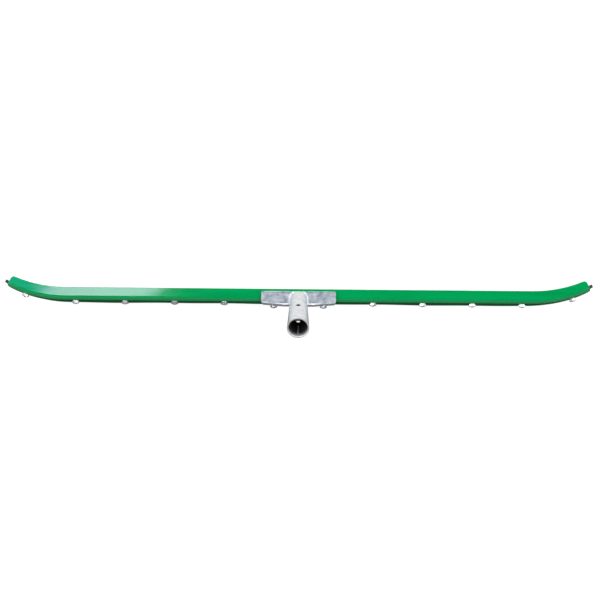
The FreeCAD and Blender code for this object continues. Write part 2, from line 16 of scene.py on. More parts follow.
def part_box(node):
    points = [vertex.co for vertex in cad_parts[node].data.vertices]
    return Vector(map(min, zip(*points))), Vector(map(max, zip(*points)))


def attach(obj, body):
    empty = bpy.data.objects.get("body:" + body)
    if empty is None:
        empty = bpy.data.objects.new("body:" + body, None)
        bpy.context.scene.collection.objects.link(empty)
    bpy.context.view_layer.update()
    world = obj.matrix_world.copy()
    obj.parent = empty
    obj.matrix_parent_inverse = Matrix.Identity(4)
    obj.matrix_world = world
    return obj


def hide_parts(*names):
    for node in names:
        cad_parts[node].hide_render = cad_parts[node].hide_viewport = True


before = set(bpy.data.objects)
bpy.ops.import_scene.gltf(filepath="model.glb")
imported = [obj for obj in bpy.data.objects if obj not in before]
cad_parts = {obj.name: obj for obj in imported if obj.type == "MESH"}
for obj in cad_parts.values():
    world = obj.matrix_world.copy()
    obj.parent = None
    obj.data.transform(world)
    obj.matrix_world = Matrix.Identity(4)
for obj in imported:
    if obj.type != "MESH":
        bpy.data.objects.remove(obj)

LOG = logging.getLogger("squeegee")
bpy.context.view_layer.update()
MM = 0.001
TOUCH = 0.1 * MM  # slack when telling which faces or points a cut has left
SQUARE_ON = 0.9  # cosine above which a face or an edge counts as lying along an axis
BODY = "root"
# Point marks read by the casting's finish: the first is painted shade down the bore; the second sets the dull
# tone, left mostly off the rim and rear skirt edge as a painted highlight.
BORE_SHADE_MARK = "bore_painted_shade"
DULL_MARK = "dull_tone_mask"

Triple = tuple[float, float, float]


class Slot(Enum):
    """The record's material slots."""

    PAINT = "green_steel"
    RUBBER = "black_rubber"
    CASTING = "cast_aluminium"
    ZINC = "zinc_steel"


class Noise(Enum):
    """How coarse a noise pattern is: cycles per metre."""

    PATCH = 45.0
    BLOTCH = 160.0
    SWELL = 256.0
    PEEL = 620.0
    GRAIN = 2200.0
    TURNING = 3300.0


# ---------------------------------------------------------------------------------------------
# Shader helpers and finishes


def set_stops(ramp: bpy.types.ShaderNode, stops: Sequence[tuple[float, Triple]]) -> None:
    """Lay a ramp's colours out at their places.

    Args:
        ramp: A colour ramp node.
        stops: Pairs of place and linear colour.
    """
    band = ramp.color_ramp
    while len(band.elements) < len(stops):
        band.elements.new(0.5)
    for element, (place, colour) in zip(band.elements, stops):
        element.position = place
        element.color = (*colour, 1.0)


class NodeBoard:
    """A material's node tree, with short calls for the nodes that the finishes share."""

    def __init__(self, name: str) -> None:
        """Start a material with a Principled shader.

        Args:
            name: The material's name.
        """
        self.material = bpy.data.materials.new(name)
        self.material.use_nodes = True
        self.tree = self.material.node_tree
        self.shader = self.tree.nodes["Principled BSDF"]
        self.place = self.tree.nodes.new("ShaderNodeTexCoord")

    def link(self, source: bpy.types.NodeSocket, target: bpy.types.NodeSocket) -> None:
        """Join two sockets."""
        self.tree.links.new(source, target)

    def noise(
        self, kind: Noise, detail: float = 3.0, stretch: Triple = (1.0, 1.0, 1.0)
    ) -> bpy.types.NodeSocket:
        """A noise pattern in the model's own coordinates.

        Args:
            kind: How coarse it is.
            detail: Octaves.
            stretch: Scale along each axis, for a pattern drawn out one way.

        Returns:
            The pattern's value, about 0.5 in the middle.
        """
        mapping = self.tree.nodes.new("ShaderNodeMapping")
        mapping.inputs["Scale"].default_value = stretch
        texture = self.tree.nodes.new("ShaderNodeTexNoise")
        texture.inputs["Scale"].default_value = kind.value
        texture.inputs["Detail"].default_value = detail
        self.link(self.place.outputs["Object"], mapping.inputs["Vector"])
        self.link(mapping.outputs["Vector"], texture.inputs["Vector"])
        return texture.outputs["Fac"]

    def ramp(
        self, value: bpy.types.NodeSocket, stops: Sequence[tuple[float, Triple]]
    ) -> bpy.types.NodeSocket:
        """Turn a value into a colour.

        Args:
            value: The driving value.
            stops: Pairs of place and linear colour.

        Returns:
            The colour.
        """
        node = self.tree.nodes.new("ShaderNodeValToRGB")
        set_stops(node, stops)
        self.link(value, node.inputs["Fac"])
        return node.outputs["Color"]

    def spread(
        self, value: bpy.types.NodeSocket, low: float, high: float, start: float = 0.3, end: float = 0.7
    ) -> bpy.types.NodeSocket:
        """Map the middle of a pattern onto a range of numbers.

        Args:
            value: The pattern.
            low: Result at the pattern's start.
            high: Result at the pattern's end.
            start: Pattern value that gives low.
            end: Pattern value that gives high.

        Returns:
            The mapped number.
        """
        node = self.tree.nodes.new("ShaderNodeMapRange")
        for name, number in (("From Min", start), ("From Max", end), ("To Min", low), ("To Max", high)):
            node.inputs[name].default_value = number
        self.link(value, node.inputs["Value"])
        return node.outputs["Result"]

    def attribute(self, name: str) -> bpy.types.NodeSocket:
        """A number painted on the piece's points."""
        node = self.tree.nodes.new("ShaderNodeAttribute")
        node.attribute_name = name
        return node.outputs["Fac"]

    def blend(
        self, part: bpy.types.NodeSocket, start: bpy.types.NodeSocket, end: object
    ) -> bpy.types.NodeSocket:
        """Blend from one pattern to another, or to a plain colour or number.

        Args:
            part: How much of the end, 0 to 1.
            start: The pattern to start from.
            end: A pattern, a linear colour or a number.

        Returns:
            The blend: a number where the end is one, and otherwise a colour.
        """
        node = self.tree.nodes.new("ShaderNodeMix")
        kind = "FLOAT" if isinstance(end, float) else "RGBA"
        node.data_type = kind
        sockets = {socket.name: socket for socket in node.inputs if socket.enabled}
        self.link(part, sockets["Factor"])
        self.link(start, sockets["A"])
        if isinstance(end, bpy.types.NodeSocket):
            self.link(end, sockets["B"])
        elif kind == "FLOAT":
            sockets["B"].default_value = end
        else:
            sockets["B"].default_value = (*end, 1.0)
        return [socket for socket in node.outputs if socket.enabled][0]

    def bump(
        self, height: bpy.types.NodeSocket, depth: float, under: bpy.types.NodeSocket | None = None
    ) -> bpy.types.NodeSocket:
        """A bump from a height pattern.

        Args:
            height: The pattern.
            depth: Relief in metres.
            under: Another bump to lay this one on.

        Returns:
            The bent normal.
        """
        node = self.tree.nodes.new("ShaderNodeBump")
        node.inputs["Distance"].default_value = depth
        self.link(height, node.inputs["Height"])
        if under is not None:
            self.link(under, node.inputs["Normal"])
        return node.outputs["Normal"]


@dataclass(frozen=True)
class PowderCoat:
    """Gloss powder coat: faint streaks along the blade, orange peel and a few duller patches."""

    colour: Triple = (0.0003, 0.305, 0.080)
    deep: Triple = (0.0002, 0.268, 0.070)
    peel_depth: float = 0.006 * MM
    smooth: float = 0.045
    dull: float = 0.085

    def material(self) -> bpy.types.Material:
        """Build the finish."""
        board = NodeBoard("green_powder_coat")
        drawn_out = board.noise(Noise.BLOTCH, stretch=(0.06, 1.0, 1.0))
        shade = board.ramp(drawn_out, ((0.30, self.deep), (0.60, self.colour)))
        board.link(shade, board.shader.inputs["Base Color"])
        patches = board.noise(Noise.BLOTCH, stretch=(0.5, 1.0, 1.0))
        board.link(board.spread(patches, self.smooth, self.dull), board.shader.inputs["Roughness"])
        peel = board.bump(board.noise(Noise.PEEL, detail=1.5), self.peel_depth)
        board.link(peel, board.shader.inputs["Normal"])
        return board.material


@dataclass(frozen=True)
class BlackRubber:
    """Matt black rubber with a faint grain and a little dust."""

    black: Triple = (0.010, 0.010, 0.011)
    dusty: Triple = (0.030, 0.030, 0.031)
    grain_depth: float = 0.03 * MM
    rough: tuple[float, float] = (0.50, 0.72)

    def material(self) -> bpy.types.Material:
        """Build the finish."""
        board = NodeBoard("black_rubber")
        streaks = board.noise(Noise.BLOTCH, stretch=(0.25, 1.0, 1.6))
        shade = board.ramp(streaks, ((0.45, self.black), (0.75, self.dusty)))
        board.link(shade, board.shader.inputs["Base Color"])
        board.link(board.spread(streaks, *self.rough), board.shader.inputs["Roughness"])
        grain = board.bump(board.noise(Noise.GRAIN, detail=2.0), self.grain_depth)
        board.link(grain, board.shader.inputs["Normal"])
        return board.material


@dataclass(frozen=True)
class CastAluminium:
    """Cast aluminium: bright on the tube, bluish grey as cast on the pad, lighter on the rim and rear skirt
    edge as a painted highlight, and darkened down the bore as painted shade.
    """

    # The bright tones are the tube's, and also make the painted highlights on the rim, the rear skirt edge
    # and the ridge in the bore.
    bright_tone: tuple[Triple, ...] = ((0.70, 0.72, 0.74), (0.82, 0.835, 0.85), (0.91, 0.915, 0.92))
    as_cast: tuple[Triple, ...] = ((0.29, 0.33, 0.38), (0.43, 0.465, 0.51), (0.55, 0.58, 0.61))
    # Colour of the painted shade down the bore.
    bore_shade_colour: Triple = (0.12, 0.115, 0.10)
    stops: Triple = (0.32, 0.50, 0.68)
    pit_depth: float = 0.03 * MM
    swell_depth: float = 0.06 * MM
    rough: tuple[float, float] = (0.36, 0.50)
    cast_rough: float = 0.74
    bore_rough: float = 0.8

    def material(self) -> bpy.types.Material:
        """Build the finish."""
        board = NodeBoard("cast_aluminium")
        clouds = board.noise(Noise.BLOTCH, detail=5.0)
        dull_share = board.attribute(DULL_MARK)
        bore_shaded = board.attribute(BORE_SHADE_MARK)
        bright = board.ramp(clouds, tuple(zip(self.stops, self.bright_tone)))
        dull = board.ramp(clouds, tuple(zip(self.stops, self.as_cast)))
        # Painted shade over the bore's wall; painted highlight where the dull tone is left off the rim, the
        # rear skirt edge and the ridge in the bore.
        tone = board.blend(bore_shaded, board.blend(dull_share, bright, dull), self.bore_shade_colour)
        board.link(tone, board.shader.inputs["Base Color"])
        board.shader.inputs["Metallic"].default_value = 1.0
        polish = board.spread(clouds, self.rough[1], self.rough[0])
        grey = board.blend(dull_share, polish, self.cast_rough)
        board.link(board.blend(bore_shaded, grey, self.bore_rough), board.shader.inputs["Roughness"])
        swell = board.bump(board.noise(Noise.SWELL, detail=2.0), self.swell_depth)
        pits = board.bump(board.noise(Noise.GRAIN), self.pit_depth, swell)
        board.link(pits, board.shader.inputs["Normal"])
        return board.material


@dataclass(frozen=True)
class ZincPlate:
    """Bright zinc plate on small steel parts, with fine turning marks."""

    dull: Triple = (0.52, 0.54, 0.56)
    bright: Triple = (0.84, 0.86, 0.88)
    mark_depth: float = 0.02 * MM
    rough: tuple[float, float] = (0.22, 0.42)

    def material(self) -> bpy.types.Material:
        """Build the finish."""
        board = NodeBoard("bright_zinc")
        bloom = board.noise(Noise.PEEL)
        shade = board.ramp(bloom, ((0.35, self.dull), (0.62, self.bright)))
        board.link(shade, board.shader.inputs["Base Color"])
        board.shader.inputs["Metallic"].default_value = 1.0
        board.link(board.spread(bloom, self.rough[1], self.rough[0]), board.shader.inputs["Roughness"])
        marks = board.bump(board.noise(Noise.TURNING), self.mark_depth)
        board.link(marks, board.shader.inputs["Normal"])
        return board.material


@dataclass(frozen=True)
class PaleFloor:
    """The studio's plain white light table, with a trace of paper grain; it glows by itself."""

    white: Triple = (0.22, 0.22, 0.22)
    off_white: Triple = (0.20, 0.20, 0.20)
    glow: float = 0.93
    rough: float = 0.9

    def material(self) -> bpy.types.Material:
        """Build the finish."""
        board = NodeBoard("studio_floor")
        paper = board.noise(Noise.PATCH)
        shade = board.ramp(paper, ((0.3, self.off_white), (0.7, self.white)))
        board.link(shade, board.shader.inputs["Base Color"])
        board.shader.inputs["Roughness"].default_value = self.rough
        board.shader.inputs["Specular IOR Level"].default_value = 0.0
        board.shader.inputs["Emission Color"].default_value = (1.0, 1.0, 1.0, 1.0)
        board.shader.inputs["Emission Strength"].default_value = self.glow
        return board.material


# ---------------------------------------------------------------------------------------------
# Modelling bench


class Bench:
    """Thin calls over Blender's own tools, each leaving one object active in object mode."""

    @staticmethod
    def clear() -> None:
        """Deselect every object."""
        bpy.ops.object.select_all(action="DESELECT")

    @classmethod
    def focus(cls, item: bpy.types.Object) -> None:
        """Make one object the only one selected, and active."""
        cls.clear()
        item.select_set(True)
        bpy.context.view_layer.objects.active = item

    @classmethod
    def cube(cls, name: str, low: Sequence[float], high: Sequence[float]) -> bpy.types.Object:
        """A box between two corners.

        Args:
            name: The object's name.
            low: Lowest corner.
            high: Highest corner.

        Returns:
            The new object, its place already in its mesh.
        """
        cls.clear()
        centre = (Vector(low) + Vector(high)) / 2
        bpy.ops.mesh.primitive_cube_add(size=1.0, location=centre)
        item = bpy.context.object
        item.name = item.data.name = name
        item.scale = Vector(high) - Vector(low)
        cls.settle(item)
        return item

    @classmethod
    def cone(
        cls, name: str, low_rad: float, high_rad: float, bottom: float, top: float, sides: int
    ) -> bpy.types.Object:
        """A cylinder or cone on the Z axis.

        Args:
            name: The object's name.
            low_rad: Radius at the bottom.
            high_rad: Radius at the top.
            bottom: Height of the bottom.
            top: Height of the top.
            sides: Number of sides.

        Returns:
            The new object.
        """
        cls.clear()
        bpy.ops.mesh.primitive_cone_add(
            vertices=sides, radius1=low_rad, radius2=high_rad, depth=top - bottom,
            location=(0.0, 0.0, (top + bottom) / 2),
        )
        item = bpy.context.object
        item.name = item.data.name = name
        cls.settle(item)
        return item

    @classmethod
    def settle(cls, item: bpy.types.Object) -> None:
        """Move an object's place, turn and scale into its mesh."""
        cls.focus(item)
        bpy.ops.object.transform_apply(location=True, rotation=True, scale=True)

    @classmethod
    def seat(cls, item: bpy.types.Object, place: Matrix) -> None:
        """Put a piece modelled at the origin where it belongs."""
        item.matrix_world = place
        cls.settle(item)

    @classmethod
    def edit(cls, item: bpy.types.Object, mode: str, chosen: Callable[[Vector, Vector], bool]) -> None:
        """Enter edit mode with the faces, edges or vertices that pass a test selected.

        Args:
            item: The object.
            mode: FACE, EDGE or VERT.
            chosen: Test of an element's middle and its normal, or direction for an edge.
        """
        cls.focus(item)
        mesh = item.data
        bpy.ops.object.mode_set(mode="EDIT")
        bpy.ops.mesh.select_mode(type=mode)
        bpy.ops.mesh.select_all(action="DESELECT")
        bpy.ops.object.mode_set(mode="OBJECT")
        spots = [vertex.co for vertex in mesh.vertices]
        if mode == "FACE":
            for face in mesh.polygons:
                face.select = chosen(face.center, face.normal)
        elif mode == "EDGE":
            for edge in mesh.edges:
                first, last = (spots[index] for index in edge.vertices)
                edge.select = chosen((first + last) / 2, (last - first).normalized())
        else:
            for vertex in mesh.vertices:
                vertex.select = chosen(vertex.co, vertex.normal)
        bpy.ops.object.mode_set(mode="EDIT")

    @staticmethod
    def done() -> None:
        """Leave edit mode."""
        bpy.ops.object.mode_set(mode="OBJECT")

    @classmethod
    def cuts(cls, item: bpy.types.Object, axis: int, places: Iterable[float]) -> None:
        """Cut all round an object at places along an axis, keeping both halves.

        Args:
            item: The object.
            axis: 0, 1 or 2 for X, Y or Z.
            places: Where the planes stand.
        """
        normal = [0.0, 0.0, 0.0]
        normal[axis] = 1.0
        for place in places:
            cls.edit(item, "FACE", lambda middle, facing: True)
            bpy.ops.mesh.bisect(plane_co=[place * part for part in normal], plane_no=normal)
            cls.done()

    @classmethod
    def modify(cls, item: bpy.types.Object, kind: str, **settings: object) -> None:
        """Add a modifier, set it and apply it."""
        cls.focus(item)
        modifier = item.modifiers.new(kind.lower(), kind)
        for name, value in settings.items():
            setattr(modifier, name, value)
        bpy.ops.object.modifier_apply(modifier=modifier.name)

    @classmethod
    def carve(cls, item: bpy.types.Object, tool: bpy.types.Object, operation: str = "DIFFERENCE") -> None:
        """Cut, join or keep the overlap with a tool, which is then thrown away."""
        cls.modify(item, "BOOLEAN", object=tool, operation=operation, solver="EXACT")
        bpy.data.objects.remove(tool, do_unlink=True)

    @classmethod
    def smooth(cls, item: bpy.types.Object, angle: float = 30.0) -> None:
        """Shade smooth, with edges sharper than the angle kept crisp."""
        cls.focus(item)
        bpy.ops.object.shade_smooth_by_angle(angle=math.radians(angle))

    @classmethod
    def copy(cls, item: bpy.types.Object, name: str) -> bpy.types.Object:
        """A copy of an object with a mesh of its own."""
        cls.focus(item)
        bpy.ops.object.duplicate()
        twin = bpy.context.object
        twin.name = twin.data.name = name
        return twin

    @staticmethod
    def discard(item: bpy.types.Object) -> None:
        """Throw an object away."""
        bpy.data.objects.remove(item, do_unlink=True)


def hand_over(
    item: bpy.types.Object, material: bpy.types.Material, replaced: Sequence[str] = ()
) -> None:
    """Dress a finished piece and fix it to the head.

    Args:
        item: The piece.
        material: Its finish.
        replaced: CAD nodes that it stands for.
    """
    item.data.materials.clear()
    item.data.materials.append(material)
    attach(item, BODY)
    if replaced:
        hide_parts(*replaced)
    LOG.info("%s: %d faces", item.name, len(item.data.polygons))


# ---------------------------------------------------------------------------------------------
# The head's line


@dataclass(frozen=True)
class HeadLine:
    """The line that every piece follows: straight, then curved forward at both ends."""

    flat_half: float = 358.0 * MM
    bend_rad: float = 194.6 * MM
    blade_half: float = 454.0 * MM
    thick: float = 4.8 * MM
    steel: float = 3.0 * MM
    screws: int = 12

    @property
    def top(self) -> float:
        """Height of the frame's top."""
        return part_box("frame")[1].z

    @property
    def steel_back(self) -> float:
        """Distance of the frame's rear face behind the rubber's mid-plane."""
        return self.thick / 2 + self.steel

    @property
    def casting_back(self) -> float:
        """Distance of the casting's two spot faces behind the rubber's mid-plane."""
        return -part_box("lock_washer_06")[1].y

    @property
    def casting_screws(self) -> tuple[int, int]:
        """Numbers of the two middle screws, which also hold the casting."""
        return self.screws // 2 - 1, self.screws // 2

    @property
    def blade_turn(self) -> float:
        """Angle that the rubber's end turns through."""
        return (self.blade_half - self.flat_half) / self.bend_rad

    def station(self, index: int) -> Matrix:
        """Place of a screw.

        Args:
            index: Screw number, from 0 at the left end.

        Returns:
            A frame on the rubber's mid-plane whose Z points forward along the screw.
        """
        left, right = (sum(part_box(name), Vector()) / 2 for name in ("nut_06", "nut_07"))
        pitch = right.x - left.x
        along = (index - (self.screws - 1) / 2) * pitch
        turn = math.copysign(max(0.0, abs(along) - self.flat_half) / self.bend_rad, along)
        straight = math.copysign(min(abs(along), self.flat_half), along)
        x = straight + self.bend_rad * math.sin(turn)
        y = self.bend_rad * (1 - math.cos(turn))
        forward = Matrix.Rotation(math.radians(-90.0), 4, "X")
        return Matrix.Translation((x, y, left.z)) @ Matrix.Rotation(turn, 4, "Z") @ forward


# ---------------------------------------------------------------------------------------------
# Pieces


@dataclass
class SteelWork:
    """The painted steel: the angle frame and the strip that clamps the rubber."""

    finish: PowderCoat = field(default_factory=PowderCoat)

    def dress(self) -> None:
        """Give both CAD pieces their powder coat."""
        material = self.finish.material()
        for name in ("frame", "clamp_strip"):
            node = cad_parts[name]
            node.data.materials.clear()
            node.data.materials.append(material)
            LOG.info("%s: painted", name)


@dataclass
class RubberBlade:
    """The rubber strip, cut from sheet and bent round the frame's ends."""

    line: HeadLine
    finish: BlackRubber = field(default_factory=BlackRubber)
    edge: float = 0.35 * MM
    wave: float = 0.5 * MM
    wave_long: float = 165.0 * MM
    beat: float = 0.37
    beat_start: float = 0.8
    levels: tuple[float, ...] = (0.08, 0.3, 0.55, 0.8, 1.0)
    flat_steps: int = 24
    bend_steps: int = 20

    def build(self) -> bpy.types.Object:
        """Model the strip.

        Returns:
            The finished piece.
        """
        line = self.line
        low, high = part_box("rubber_blade")
        half = line.thick / 2
        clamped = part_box("frame")[0].z
        item = Bench.cube("blade_rubber", (-line.flat_half, -half, low.z), (line.flat_half, half, high.z))
        steps = self.flat_steps
        Bench.cuts(item, 2, [clamped * part for part in self.levels])
        Bench.cuts(item, 0, [line.flat_half * step / steps for step in range(1 - steps, steps)])
        for side in (-1, 1):
            Bench.edit(item, "FACE", lambda middle, facing: facing.x * side > SQUARE_ON)
            bpy.ops.mesh.spin(
                steps=self.bend_steps, angle=-side * line.blade_turn, use_auto_merge=False,
                center=(side * line.flat_half, line.bend_rad, 0.0), axis=(0.0, 0.0, 1.0),
            )
            Bench.done()
        self._check_bend(item, high)
        Bench.modify(
            item, "BEVEL", width=self.edge, segments=3, limit_method="ANGLE", angle_limit=math.radians(60.0)
        )
        self._ripple(item, clamped)
        Bench.smooth(item)
        hand_over(item, self.finish.material(), ("rubber_blade",))
        return item

    def _check_bend(self, item: bpy.types.Object, high: Vector) -> None:
        """Report how far the bent ends are from the CAD strip's."""
        reach = max(vertex.co.x for vertex in item.data.vertices)
        rise = max(vertex.co.y for vertex in item.data.vertices)
        LOG.info("blade ends off by %.2f and %.2f mm", (reach - high.x) / MM, (rise - high.y) / MM)

    def _ripple(self, item: bpy.types.Object, clamped: float) -> None:
        """Let the free edge wander a little from side to side, as cut rubber does."""
        for vertex in item.data.vertices:
            free = max(0.0, 1.0 - vertex.co.z / clamped)
            phase = vertex.co.x / self.wave_long * math.tau
            swing = math.sin(phase) * math.cos(self.beat * phase + self.beat_start)
            vertex.co.y += self.wave * free ** 2 * swing


@dataclass
class Fasteners:
    """Screws, split washers and nuts, each modelled once on the Z axis and then copied."""

    line: HeadLine
    finish: ZincPlate = field(default_factory=ZincPlate)
    shank_rad: float = 2.4 * MM
    root_rad: float = 1.92 * MM
    thread_pitch: float = 1.06 * MM
    thread_long: float = 11.0 * MM
    rows_per_turn: int = 8
    crest_flat: float = 1.25
    tip_taper: float = 0.93
    head_rad: float = 4.7 * MM
    head_high: float = 2.7 * MM
    head_round: float = 0.75
    drive_half: float = 2.5 * MM
    drive_wide: float = 1.0 * MM
    drive_deep: float = 1.5 * MM
    drive_taper: float = 0.35
    nut_flats: float = 9.5 * MM
    nut_high: float = 3.2 * MM
    nut_chamfer: float = math.radians(30.0)
    nut_face: float = 0.97
    nut_slack: float = 1.02
    sink_parts: tuple[float, float] = (0.98, 1.18)
    sink_slack: float = 1.03
    sink_deep: float = 0.35 * MM
    washer_rad: float = 4.25 * MM
    washer_thick: float = 1.2 * MM
    washer_gap: float = math.radians(14.0)
    washer_slack: float = 1.08
    washer_slice: float = 0.05 * MM
    washer_edge: float = 0.12 * MM
    washer_steps: int = 40
    turn_step: float = math.radians(53.0)
    proud: float = 1.1 * MM

    def build(self) -> None:
        """Model the three kinds and seat a copy of each at every screw."""
        material = self.finish.material()
        nut = self._nut()
        washer = self._washer()
        line = self.line
        short_grip = 2 * line.steel_back
        long_grip = line.steel_back + line.casting_back
        screws = {False: self._screw(short_grip), True: self._screw(long_grip)}
        for index in range(line.screws):
            in_casting = index in line.casting_screws
            rear = line.casting_back if in_casting else line.steel_back
            place = line.station(index)
            number = "%02d" % (index + 1)
            spin = Matrix.Rotation(self.turn_step * index, 4, "Z")
            for master, name, node, lift in (
                (screws[in_casting], "screw_bright_", "screw_", 0.0),
                (washer, "split_washer_", "lock_washer_", -rear - self.washer_thick),
                (nut, "hex_nut_", "nut_", -rear - self.washer_thick - self.nut_high),
            ):
                piece = Bench.copy(master, name + number)
                Bench.seat(piece, place @ Matrix.Translation((0.0, 0.0, lift)) @ spin)
                hand_over(piece, material, (node + number,))
        for master in (nut, washer, *screws.values()):
            Bench.discard(master)

    def _screw(self, grip: float) -> bpy.types.Object:
        """A pan-head screw: head forward of the grip, thread at its rear end.

        Args:
            grip: Thickness that the screw clamps, washer and nut apart.

        Returns:
            The master, its head seated at the clamp strip's front face.
        """
        seat = self.line.steel_back
        tail = seat - grip - self.washer_thick - self.nut_high - self.proud
        start = tail + self.thread_long
        item = Bench.cone("screw_master", self.shank_rad, self.shank_rad, tail, seat + self.head_high / 3, 24)
        row = self.thread_pitch / self.rows_per_turn
        count = round((start - tail) / row)
        Bench.cuts(item, 2, [tail + row * step for step in range(1, count)])
        for vertex in item.data.vertices:
            reach = math.hypot(vertex.co.x, vertex.co.y)
            if vertex.co.z > start or reach < self.root_rad / 2:
                continue
            turned = math.atan2(vertex.co.y, vertex.co.x) / math.tau
            phase = (vertex.co.z / self.thread_pitch - turned) % 1.0
            crest = 1.0 - abs(2.0 * phase - 1.0)
            radius = self.root_rad + (self.shank_rad - self.root_rad) * min(1.0, crest * self.crest_flat)
            if vertex.co.z < tail + row / 2:
                radius = self.root_rad * self.tip_taper
            vertex.co.x *= radius / reach
            vertex.co.y *= radius / reach
        head = Bench.cone("screw_head", self.head_rad, self.head_rad, seat, seat + self.head_high, 40)
        top = seat + self.head_high
        Bench.edit(head, "EDGE", lambda middle, along: middle.z > top - TOUCH)
        bpy.ops.mesh.bevel(offset=self.head_high * self.head_round, segments=6, affect="EDGES")
        Bench.done()
        for turn in (0.0, 90.0):
            slot = Bench.cube(
                "drive_slot",
                (-self.drive_half, -self.drive_wide / 2, top - self.drive_deep),
                (self.drive_half, self.drive_wide / 2, top + self.drive_deep),
            )
            for vertex in slot.data.vertices:
                if vertex.co.z < top:
                    vertex.co.x *= self.drive_taper
            Bench.seat(slot, Matrix.Rotation(math.radians(turn), 4, "Z"))
            Bench.carve(head, slot)
        Bench.carve(item, head, "UNION")
        Bench.smooth(item, 35.0)
        return item

    def _nut(self) -> bpy.types.Object:
        """A hex nut with both faces chamfered and a countersunk bore, standing on z = 0."""
        corner = self.nut_flats / math.sqrt(3.0)
        item = Bench.cone("nut_master", corner, corner, 0.0, self.nut_high, 6)
        narrow = self.nut_flats / 2 * self.nut_face
        wide = narrow + self.nut_high / math.tan(self.nut_chamfer)
        for sizes in ((narrow, wide), (wide, narrow)):
            shave = Bench.cone("nut_shave", *sizes, 0.0, self.nut_high, 64)
            Bench.carve(item, shave, "INTERSECT")
        bore_rad = self.shank_rad * self.nut_slack
        Bench.carve(item, Bench.cone("nut_bore", bore_rad, bore_rad, -MM, self.nut_high + MM, 32))
        narrow, wide = (self.shank_rad * part * self.sink_slack for part in self.sink_parts)
        for at, sizes in ((0.0, (wide, narrow)), (self.nut_high, (narrow, wide))):
            low = at - self.sink_deep
            Bench.carve(item, Bench.cone("nut_sink", *sizes, low, low + 2 * self.sink_deep, 32))
        Bench.smooth(item, 25.0)
        return item

    def _washer(self) -> bpy.types.Object:
        """A split ring, standing on z = 0, turned from a thin slice at one end."""
        inner = self.shank_rad * self.washer_slack
        outer = (self.washer_rad, self.washer_slice, self.washer_thick)
        item = Bench.cube("washer_master", (inner, 0.0, 0.0), outer)
        Bench.edit(item, "FACE", lambda middle, facing: facing.y > SQUARE_ON)
        bpy.ops.mesh.spin(
            steps=self.washer_steps, angle=-(math.tau - self.washer_gap),
            center=(0.0, 0.0, 0.0), axis=(0.0, 0.0, 1.0),
        )
        Bench.done()
        Bench.modify(
            item, "BEVEL", width=self.washer_edge, segments=2, limit_method="ANGLE",
            angle_limit=math.radians(50.0),
        )
        Bench.smooth(item, 35.0)
        return item


